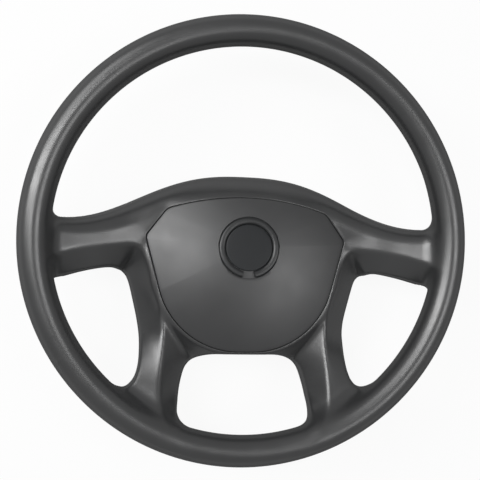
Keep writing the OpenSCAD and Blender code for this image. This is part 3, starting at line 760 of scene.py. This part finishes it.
@dataclass
class HornPad:
    """Crowned cover of the horn, with rounded edges, a skirt and the badge's seat."""

    form: PadForm = field(default_factory=PadForm)
    badge: BadgePlace = field(default_factory=BadgePlace)
    edge_r: float = 0.6
    wall: float = 3.0
    skirt_z: float = 41.5
    # Lip of the badge's seat: its width and its depth
    seat_lip: float = 0.4
    seat_lip_h: float = 0.35
    # Share of the outline at which the seat's floor and the underside close
    eye: float = 0.02
    edge_turns: tuple = (20, 40, 60, 80, 90)
    arc_steps: int = 14

    def build(self) -> bpy.types.Object:
        """Makes the pad's skin.

        Returns:
            The piece, on the pad.
        """
        form, badge = self.form, self.badge
        rim = form.outline(0, self.arc_steps)
        count = len(rim)
        centre = np.array([0.0, -badge.low])
        seat_r = badge.ring_d / 2 + badge.play
        spokes = rim - centre
        hole = centre + spokes / np.linalg.norm(spokes, axis=1)[:, None] * seat_r
        inner = form.outline(-self.edge_r, self.arc_steps)
        rings = []

        def lay(flat: np.ndarray, z: np.ndarray) -> None:
            """Adds one ring of corners."""
            rings.append(np.column_stack([flat, np.broadcast_to(z, len(flat))]))

        floor = form.crown(hole[:, 0], hole[:, 1]) - badge.seat
        lay(centre + (hole - centre) * self.eye, floor)
        lay(hole, floor)
        lay(hole, form.crown(hole[:, 0], hole[:, 1]) - self.seat_lip_h)
        lip = centre + (hole - centre) * (seat_r + self.seat_lip) / seat_r
        for share in np.linspace(0, 1, 26):
            flat = lip + (inner - lip) * share
            lay(flat, form.crown(flat[:, 0], flat[:, 1]))
        for turn in self.edge_turns:
            a = math.radians(turn)
            flat = form.outline(-self.edge_r * (1 - math.sin(a)), self.arc_steps)
            lay(flat, form.crown(flat[:, 0], flat[:, 1]) - self.edge_r * (1 - math.cos(a)))
        lay(rim, self.skirt_z)
        under = form.outline(-self.wall, self.arc_steps)
        lay(under, self.skirt_z)
        lay(under, form.crown(under[:, 0], under[:, 1]) - self.wall - 0.2)
        middle = centre + (under - centre) * 0.4
        lay(middle, form.crown(middle[:, 0], middle[:, 1]) - self.wall)
        last = centre + (under - centre) * self.eye
        lay(last, form.crown(last[:, 0], last[:, 1]) - self.wall)
        faces = rings_to_faces(len(rings), count)
        corners = np.vstack(rings)
        total = len(rings) * count
        faces.append(tuple(range(count)))
        faces.append(tuple(range(total - 1, total - 1 - count, -1)))
        faces = [f[::-1] for f in faces]
        return new_piece("horn_pad_skin", corners, faces, Body.PAD, "pad", ["horn_pad"], 42)


class Nodes:
    """Small helper round a material's node tree."""

    def __init__(self, name: str) -> None:
        """Starts a material with its Principled shader."""
        self.material = bpy.data.materials.new(name)
        self.material.use_nodes = True
        self.tree = self.material.node_tree
        self.tree.nodes.clear()
        self.output = self.tree.nodes.new("ShaderNodeOutputMaterial")
        self.shader = self.tree.nodes.new("ShaderNodeBsdfPrincipled")
        self.link(self.shader.outputs["BSDF"], self.output.inputs["Surface"])
        self.place = self.tree.nodes.new("ShaderNodeTexCoord").outputs["Object"]

    def link(self, source: bpy.types.NodeSocket, target: bpy.types.NodeSocket) -> None:
        """Joins two sockets."""
        self.tree.links.new(source, target)

    def noise(self, scale: float, detail: float = 2.0,
              stretch: Optional[tuple] = None) -> bpy.types.NodeSocket:
        """Noise over the piece's own space.

        Args:
            scale: Scale of the noise, per metre.
            detail: Detail of the noise.
            stretch: Factors along X, Y and Z, for brushed marks.

        Returns:
            The noise's value socket.
        """
        node = self.tree.nodes.new("ShaderNodeTexNoise")
        node.inputs["Scale"].default_value = scale
        node.inputs["Detail"].default_value = detail
        source = self.place
        if stretch:
            mapping = self.tree.nodes.new("ShaderNodeMapping")
            mapping.inputs["Scale"].default_value = stretch
            self.link(self.place, mapping.inputs["Vector"])
            source = mapping.outputs["Vector"]
        self.link(source, node.inputs["Vector"])
        return node.outputs["Fac"]

    def ramp(self, value: bpy.types.NodeSocket, low: tuple, high: tuple,
             start: float = 0.3, end: float = 0.7) -> bpy.types.NodeSocket:
        """Colour that goes from low to high with a value."""
        node = self.tree.nodes.new("ShaderNodeValToRGB")
        node.color_ramp.elements[0].position, node.color_ramp.elements[1].position = start, end
        node.color_ramp.elements[0].color, node.color_ramp.elements[1].color = (*low, 1), (*high, 1)
        self.link(value, node.inputs["Fac"])
        return node.outputs["Color"]

    def spread(self, value: bpy.types.NodeSocket, low: float, high: float) -> bpy.types.NodeSocket:
        """Number that goes from low to high with a value."""
        node = self.tree.nodes.new("ShaderNodeMapRange")
        node.inputs["From Min"].default_value, node.inputs["From Max"].default_value = 0.3, 0.7
        node.inputs["To Min"].default_value, node.inputs["To Max"].default_value = low, high
        self.link(value, node.inputs["Value"])
        return node.outputs["Result"]

    def edge_dulled(self, rough: bpy.types.NodeSocket, edge: float) -> bpy.types.NodeSocket:
        """Takes the gloss off a grained surface where it is seen at a flat angle.

        Args:
            rough: Roughness seen straight on.
            edge: Roughness at a flat angle.

        Returns:
            The roughness socket.
        """
        facing = self.tree.nodes.new("ShaderNodeLayerWeight")
        facing.inputs["Blend"].default_value = 0.5
        share = self.tree.nodes.new("ShaderNodeMapRange")
        share.interpolation_type = "SMOOTHSTEP"
        share.inputs["From Min"].default_value, share.inputs["From Max"].default_value = 0.2, 0.7
        self.link(facing.outputs["Facing"], share.inputs["Value"])
        mix = self.tree.nodes.new("ShaderNodeMix")
        mix.data_type = "FLOAT"
        self.link(share.outputs["Result"], mix.inputs[0])
        self.link(rough, mix.inputs[2])
        mix.inputs[3].default_value = edge
        return mix.outputs[0]

    def bump(self, height: bpy.types.NodeSocket, depth: float) -> None:
        """Raises the surface by a height pattern, depth in metres."""
        node = self.tree.nodes.new("ShaderNodeBump")
        node.inputs["Strength"].default_value = 1.0
        node.inputs["Distance"].default_value = depth
        self.link(height, node.inputs["Height"])
        self.link(node.outputs["Normal"], self.shader.inputs["Normal"])


@dataclass(frozen=True)
class MouldedFinish:
    """Moulded polyurethane or plastic with a fine even grain."""

    name: str
    colour: tuple
    shift: float = 0.12
    rough_low: float = 0.42
    rough_high: float = 0.52
    grain: float = 1900.0
    grain_depth: float = 0.00003
    specular: float = 0.5
    edge_rough: float = 0.85

    def make(self) -> bpy.types.Material:
        """Builds the material."""
        n = Nodes(self.name)
        cloud = n.noise(14, 3)
        low = tuple(c * (1 - self.shift) for c in self.colour)
        high = tuple(c * (1 + self.shift) for c in self.colour)
        n.link(n.ramp(cloud, low, high), n.shader.inputs["Base Color"])
        n.link(n.edge_dulled(n.spread(n.noise(60, 4), self.rough_low, self.rough_high), self.edge_rough),
               n.shader.inputs["Roughness"])
        n.shader.inputs["Specular IOR Level"].default_value = self.specular
        n.bump(n.noise(self.grain, 3), self.grain_depth)
        return n.material


@dataclass(frozen=True)
class MetalFinish:
    """Bare or plated metal with turning or casting marks."""

    name: str
    colour: tuple
    rough_low: float
    rough_high: float
    mark: float = 900.0
    mark_depth: float = 0.00002
    stretch: Optional[tuple] = None
    shift: float = 0.15

    def make(self) -> bpy.types.Material:
        """Builds the material."""
        n = Nodes(self.name)
        low = tuple(c * (1 - self.shift) for c in self.colour)
        high = tuple(min(1.0, c * (1 + self.shift)) for c in self.colour)
        n.link(n.ramp(n.noise(45, 4), low, high), n.shader.inputs["Base Color"])
        n.shader.inputs["Metallic"].default_value = 1.0
        n.link(n.spread(n.noise(180, 4), self.rough_low, self.rough_high), n.shader.inputs["Roughness"])
        n.bump(n.noise(self.mark, 3, self.stretch), self.mark_depth)
        return n.material


@dataclass
class Finishes:
    """Every finish of the wheel, by the record's slot."""

    def by_slot(self) -> dict:
        """The finishes, one per slot."""
        dark = (0.0146, 0.0149, 0.0153)
        made = [
            ("skin", MouldedFinish("moulded_skin", dark, rough_low=0.28, rough_high=0.34)),
            ("pad", MouldedFinish("pad_skin", (0.0155, 0.0158, 0.0163), rough_low=0.36, rough_high=0.42,
                                  specular=0.40)),
            ("badge", MouldedFinish("badge_face", (0.0046, 0.0054, 0.0062), shift=0.06, rough_low=0.46,
                                    rough_high=0.52, grain=1500.0, grain_depth=0.00001, specular=0.18)),
            ("trim_ring", MouldedFinish("trim_ring_face", (0.0040, 0.0045, 0.0050), shift=0.06,
                                        rough_low=0.34, rough_high=0.40, grain=1500.0,
                                        grain_depth=0.00001, specular=0.32)),
            ("cover", MouldedFinish("cover_plastic", (0.024, 0.024, 0.026), shift=0.1, rough_low=0.5,
                                    rough_high=0.62, grain=1200.0, grain_depth=0.00008)),
            ("core_steel", MetalFinish("drawn_steel", (0.42, 0.43, 0.44), 0.35, 0.5)),
            ("cast_alloy", MetalFinish("cast_alloy", (0.55, 0.56, 0.57), 0.5, 0.65, mark=420.0,
                                       mark_depth=0.0001)),
            ("hub_steel", MetalFinish("turned_steel", (0.38, 0.38, 0.39), 0.3, 0.45, mark=500.0,
                                      mark_depth=0.00003, stretch=(1, 1, 12))),
            ("zinc", MetalFinish("zinc_plate", (0.62, 0.61, 0.56), 0.28, 0.42)),
            ("carrier_plastic", MouldedFinish("natural_plastic", (0.62, 0.58, 0.48), 0.06, 0.38, 0.5)),
            ("brass", MetalFinish("brass_sheet", (0.70, 0.50, 0.20), 0.25, 0.4, 260.0, 0.00002)),
            ("insulator", MouldedFinish("laminate", (0.48, 0.34, 0.17), shift=0.15, rough_low=0.45,
                                        rough_high=0.6, grain=900.0, grain_depth=0.00004)),
            ("contact", MetalFinish("silver_contact", (0.75, 0.73, 0.68), 0.2, 0.35)),
        ]
        return {slot: finish.make() for slot, finish in made}

    def dress(self, pieces: Sequence) -> None:
        """Gives every new piece and every CAD node the finish of its slot.

        Args:
            pieces: The new pieces, each with the slot it was given.
        """
        finishes = self.by_slot()
        for piece in pieces:
            piece.data.materials.clear()
            piece.data.materials.append(finishes[piece["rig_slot"]])
        for name, node in frame["nodes"].items():
            slot = self.slot_of(name)
            for k in range(max(1, len(node.material_slots))):
                if not node.material_slots:
                    node.data.materials.append(finishes[slot])
                node.material_slots[k].material = finishes[slot]

    def slot_of(self, name: str) -> str:
        """The record's slot that a CAD node belongs to."""
        slots = {entry["node"]: entry["material_slot"] for entry in frame["record"]["subparts"]}
        return slots[name]


@dataclass
class Lamp:
    """One soft lamp of the studio: angles in degrees, distance and sizes in metres, power in watts."""

    name: str
    azimuth: float
    elevation: float
    distance: float
    width: float
    height: float
    power: float
    roll: float = 0.0


@dataclass
class Studio:
    """Floor, lamps, world and camera, in metres."""

    floor_z: float = -0.0125
    floor_half: float = 4.0
    focus: tuple = (0.0, 0.0, 0.072)
    camera_range: float = 0.6
    film_mm: float = 36.0
    focal_px: float = 676.4
    picture_px: float = 480.0
    centre_px: tuple = (251.3, 240.1)
    yaw: float = 8.95
    pitch: float = -0.6
    spin: float = -1.8
    world: float = 0.18
    paper: tuple = (0.5, 0.5, 0.5)
    glow_share: float = 0.93
    lamps: tuple = (
        Lamp("left_softbox", 159, 52, 1.5, 0.33, 1.3, 27.0, 8.0),
        Lamp("upper_left_softbox", 130, 44, 1.5, 0.6, 0.6, 6.2),
        Lamp("right_softbox", 2, 61, 1.5, 0.34, 0.6, 6.5),
        Lamp("lower_right_lamp", 328, 64, 1.5, 0.35, 0.35, 2.5),
        Lamp("crest_lamp", 146, 74, 1.5, 0.3, 0.3, 2.4),
    )

    def seen(self, tree: bpy.types.NodeTree) -> bpy.types.NodeSocket:
        """Tells the rays that see the white background from those that only carry light.

        Args:
            tree: Node tree of the floor or the world.

        Returns:
            A socket that is 1 for camera, glossy and transmission rays.
        """
        path = tree.nodes.new("ShaderNodeLightPath")
        found = path.outputs["Is Camera Ray"]
        for name in ("Is Glossy Ray", "Is Transmission Ray"):
            either = tree.nodes.new("ShaderNodeMath")
            either.operation = "MAXIMUM"
            tree.links.new(found, either.inputs[0])
            tree.links.new(path.outputs[name], either.inputs[1])
            found = either.outputs[0]
        return found

    def floor(self) -> None:
        """Lays the plain pale floor, which shows white and keeps the wheel's shadow."""
        half = self.floor_half
        mesh = bpy.data.meshes.new("floor")
        mesh.from_pydata([(-half, -half, self.floor_z), (half, -half, self.floor_z),
                          (half, half, self.floor_z), (-half, half, self.floor_z)], [], [(0, 1, 2, 3)])
        plane = bpy.data.objects.new("floor", mesh)
        bpy.context.scene.collection.objects.link(plane)
        material = bpy.data.materials.new("floor_paper")
        material.use_nodes = True
        tree = material.node_tree
        tree.nodes.clear()
        output = tree.nodes.new("ShaderNodeOutputMaterial")
        paper = tree.nodes.new("ShaderNodeBsdfDiffuse")
        paper.inputs["Color"].default_value = (*self.paper, 1)
        glow = tree.nodes.new("ShaderNodeEmission")
        glow.inputs["Strength"].default_value = 1.0
        share = tree.nodes.new("ShaderNodeMath")
        share.operation = "MULTIPLY"
        share.inputs[1].default_value = self.glow_share
        mix = tree.nodes.new("ShaderNodeMixShader")
        tree.links.new(self.seen(tree), share.inputs[0])
        tree.links.new(share.outputs[0], mix.inputs["Fac"])
        tree.links.new(paper.outputs["BSDF"], mix.inputs[1])
        tree.links.new(glow.outputs["Emission"], mix.inputs[2])
        tree.links.new(mix.outputs["Shader"], output.inputs["Surface"])
        mesh.materials.append(material)

    def light(self) -> None:
        """Hangs the lamps and sets the world."""
        focus = Vector(self.focus)
        for lamp in self.lamps:
            data = bpy.data.lights.new(lamp.name, "AREA")
            data.shape = "RECTANGLE"
            data.size, data.size_y = lamp.width, lamp.height
            data.energy = lamp.power
            az, el = math.radians(lamp.azimuth), math.radians(lamp.elevation)
            aim = Vector((math.cos(el) * math.cos(az), math.cos(el) * math.sin(az), math.sin(el)))
            o = bpy.data.objects.new(lamp.name, data)
            o.location = focus + lamp.distance * aim
            turn = aim.to_track_quat("Z", "Y") @ Quaternion((0, 0, 1), math.radians(lamp.roll))
            o.rotation_euler = turn.to_euler()
            bpy.context.scene.collection.objects.link(o)
        world = bpy.data.worlds.new("studio")
        bpy.context.scene.world = world
        world.use_nodes = True
        tree = world.node_tree
        tree.nodes.clear()
        output = tree.nodes.new("ShaderNodeOutputWorld")
        plain = tree.nodes.new("ShaderNodeBackground")
        plain.inputs["Strength"].default_value = self.world
        white = tree.nodes.new("ShaderNodeBackground")
        white.inputs["Strength"].default_value = 1.0
        mix = tree.nodes.new("ShaderNodeMixShader")
        tree.links.new(self.seen(tree), mix.inputs["Fac"])
        tree.links.new(plain.outputs["Background"], mix.inputs[1])
        tree.links.new(white.outputs["Background"], mix.inputs[2])
        tree.links.new(mix.outputs["Shader"], output.inputs["Surface"])

    def camera(self) -> None:
        """Sets the camera at the photograph's viewing angle."""
        turn = (Matrix.Rotation(math.radians(self.pitch), 3, "X")
                @ Matrix.Rotation(math.radians(self.yaw), 3, "Y")
                @ Matrix.Rotation(math.radians(self.spin), 3, "Z")).transposed()
        data = bpy.data.cameras.new("camera")
        data.sensor_width = self.film_mm
        data.lens = self.focal_px / self.picture_px * self.film_mm
        data.shift_x = -(self.centre_px[0] - self.picture_px / 2) / self.picture_px
        data.shift_y = (self.centre_px[1] - self.picture_px / 2) / self.picture_px
        data.clip_start = 0.05
        o = bpy.data.objects.new("camera", data)
        o.matrix_world = Matrix.Translation(
            Vector(self.focus) + turn @ Vector((0, 0, self.camera_range))) @ turn.to_4x4()
        bpy.context.scene.collection.objects.link(o)
        bpy.context.scene.camera = o
        bpy.context.scene.view_settings.view_transform = "Standard"

    def build(self) -> None:
        """Sets up floor, lamps, world and camera."""
        self.floor()
        self.light()
        self.camera()


def main() -> None:
    """Builds the wheel's pieces in order, dresses them and sets the studio."""
    logging.basicConfig(level=logging.INFO, format="%(message)s")
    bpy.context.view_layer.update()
    pieces = [GripMoulding().build()]
    pad = HornPad()
    pieces.append(pad.build())
    pieces += pad.badge.build(pad.form)
    Finishes().dress(pieces)
    for piece in pieces:
        LOG.info("%s: %d faces", piece.name, len(piece.data.polygons))
    Studio().build()


if __name__ == "__main__":
    main()
